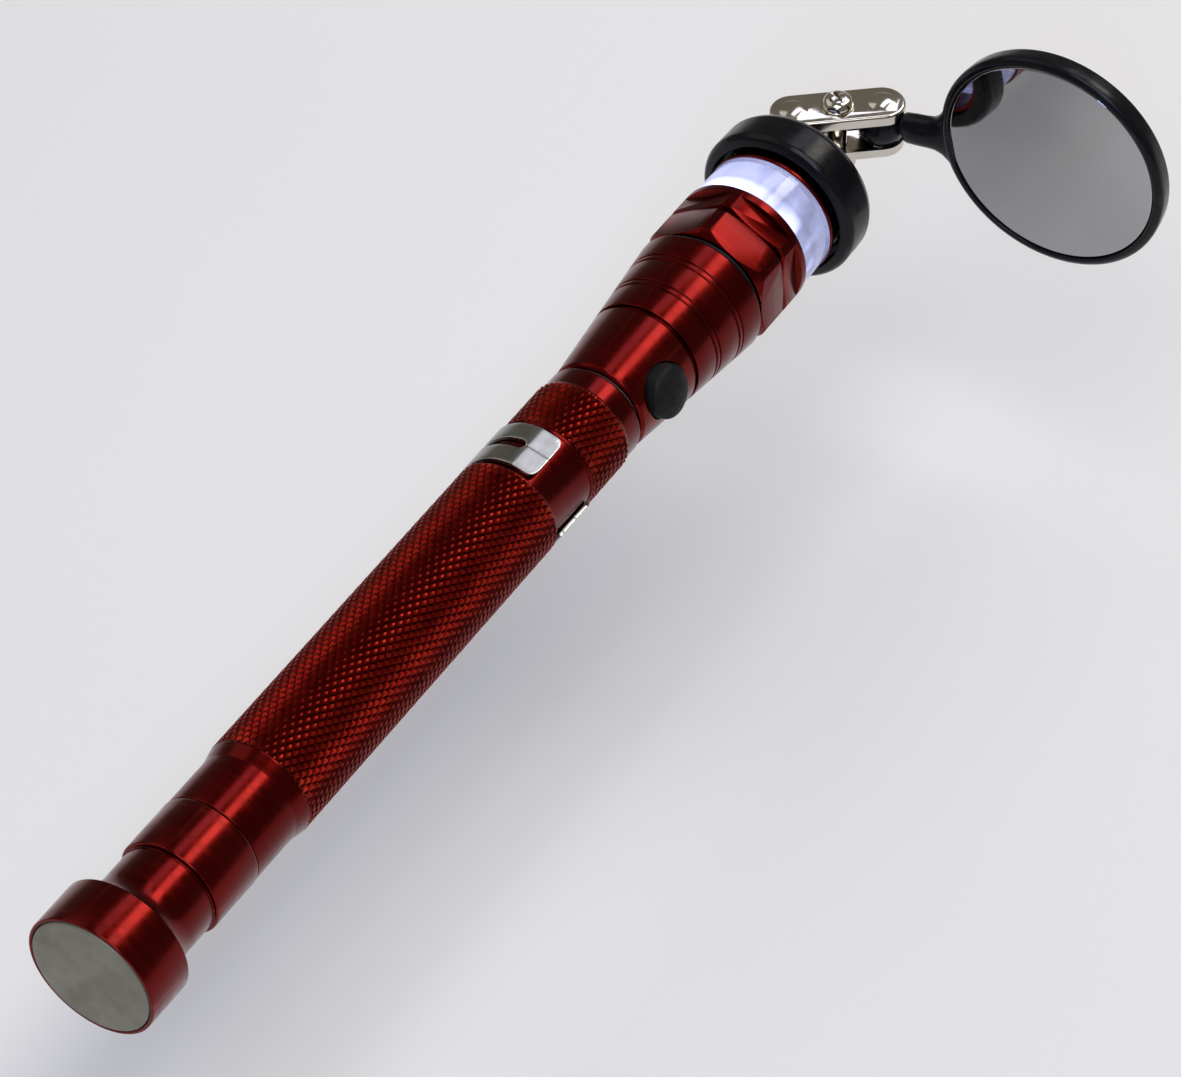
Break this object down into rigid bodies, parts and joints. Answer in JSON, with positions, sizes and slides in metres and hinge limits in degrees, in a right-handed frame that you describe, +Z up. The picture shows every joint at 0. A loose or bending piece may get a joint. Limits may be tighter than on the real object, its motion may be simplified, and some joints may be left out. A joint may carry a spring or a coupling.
{
  "type": "telescoping inspection mirror",
  "caption": "Pocket torch on a telescopic rod with a magnet at each end, a pocket clip and a round slip-on mirror on a double ball joint.",
  "frame": {"origin": "centre of the tail magnet's outer face", "axes": "+X along the tool from the tail to the lamp head, +Z up with the tool lying flat, mirror out to the -Y side"},
  "size_m": [0.1948, 0.0626, 0.0373],
  "materials": {
    "red_anodised": "glossy deep red anodised",
    "magnet_face": "satin plated magnet",
    "chrome_plate": "bright chrome plate",
    "rod_chrome": "polished chromed tube",
    "spring_steel": "bright spring steel",
    "black_plastic": "glossy black moulded plastic",
    "black_rubber": "matte black rubber",
    "clear_acrylic": "clear acrylic lit from inside",
    "led_epoxy": "water-clear LED epoxy",
    "circuit_board": "green solder mask",
    "nylon": "natural nylon",
    "cell_steel": "nickel plated cell can",
    "mirror_silver": "silvered glass",
    "foam_pad": "black foam tape"
  },
  "bodies": {
    "handle": {"tail_magnet": "magnet_face", "tail_cap": "red_anodised", "handle_tube": "red_anodised", "pocket_clip": "spring_steel", "rod_anchor_plug": "nylon", "handle_front_bush": "nylon", "rod_tube_fixed": "rod_chrome"},
    "rod_section_1": {"rod_tube_1": "rod_chrome"},
    "rod_section_2": {"rod_tube_2": "rod_chrome"},
    "rod_section_3": {"rod_tube_3": "rod_chrome"},
    "rod_section_4": {"rod_tube_4": "rod_chrome"},
    "rod_section_5": {"rod_tip": "rod_chrome"},
    "head": {"head_barrel": "red_anodised", "head_rear_plug": "nylon", "switch_block": "nylon", "battery_spring": "spring_steel", "battery_sleeve": "nylon", "button_cell_1": "cell_steel", "button_cell_2": "cell_steel", "button_cell_3": "cell_steel", "button_cell_4": "cell_steel", "seal_ring": "black_rubber", "hex_collar": "red_anodised", "led_board": "circuit_board", "led_1": "led_epoxy", "led_2": "led_epoxy", "led_3": "led_epoxy", "clear_lens": "clear_acrylic", "front_magnet": "magnet_face", "front_cap": "red_anodised"},
    "button": {"push_button": "black_rubber"},
    "mirror_holder": {"mirror_holder_ring": "black_plastic"},
    "holder_ball": {"holder_ball": "black_plastic"},
    "bracket": {"bracket_top_plate": "chrome_plate", "bracket_bottom_plate": "chrome_plate", "clamp_screw": "chrome_plate", "clamp_nut": "chrome_plate"},
    "mirror_ball": {"mirror_ball": "black_plastic"},
    "mirror": {"mirror_frame": "black_plastic", "mirror_pad": "foam_pad", "mirror_glass": "mirror_silver"}
  },
  "joints": [
    {"name": "rod_section_1_slide", "type": "slide", "parent": "handle", "child": "rod_section_1", "axis": [1, 0, 0], "range_m": [0, 0.066]},
    {"name": "rod_section_2_slide", "type": "slide", "parent": "rod_section_1", "child": "rod_section_2", "axis": [1, 0, 0], "range_m": [0, 0.066]},
    {"name": "rod_section_3_slide", "type": "slide", "parent": "rod_section_2", "child": "rod_section_3", "axis": [1, 0, 0], "range_m": [0, 0.066]},
    {"name": "rod_section_4_slide", "type": "slide", "parent": "rod_section_3", "child": "rod_section_4", "axis": [1, 0, 0], "range_m": [0, 0.066]},
    {"name": "rod_section_5_slide", "type": "slide", "parent": "rod_section_4", "child": "rod_section_5", "axis": [1, 0, 0], "range_m": [0, 0.066]},
    {"name": "head_turn", "type": "hinge", "parent": "rod_section_5", "child": "head", "pos_m": [0.12, 0, 0], "axis": [1, 0, 0], "continuous": true},
    {"name": "button_press", "type": "slide", "parent": "head", "child": "button", "axis": [0, 0.9549, -0.297], "range_m": [0, 0.0008], "stiffness_N_per_m": 1500, "springref_m": -0.0003},
    {"name": "mirror_holder_turn", "type": "hinge", "parent": "head", "child": "mirror_holder", "pos_m": [0.171, 0, 0], "axis": [1, 0, 0], "continuous": true},
    {"name": "holder_ball_twist", "type": "hinge", "parent": "mirror_holder", "child": "holder_ball", "pos_m": [0.18283, 0.00619, 0.00056], "axis": [0.8975, -0.4209, -0.1315], "range_deg": [-90, 90]},
    {"name": "bracket_swing", "type": "hinge", "parent": "holder_ball", "child": "bracket", "pos_m": [0.18283, 0.00619, 0.00056], "axis": [0, 0, 1], "range_deg": [-15, 40]},
    {"name": "mirror_swing", "type": "hinge", "parent": "bracket", "child": "mirror_ball", "pos_m": [0.19125, -0.00391, 0.00056], "axis": [0, 0, 1], "range_deg": [-15, 50]},
    {"name": "mirror_twist", "type": "hinge", "parent": "mirror_ball", "child": "mirror", "pos_m": [0.19125, -0.00391, 0.00056], "axis": [0, -0.9759, 0.2181], "range_deg": [-90, 90]}
  ]
}
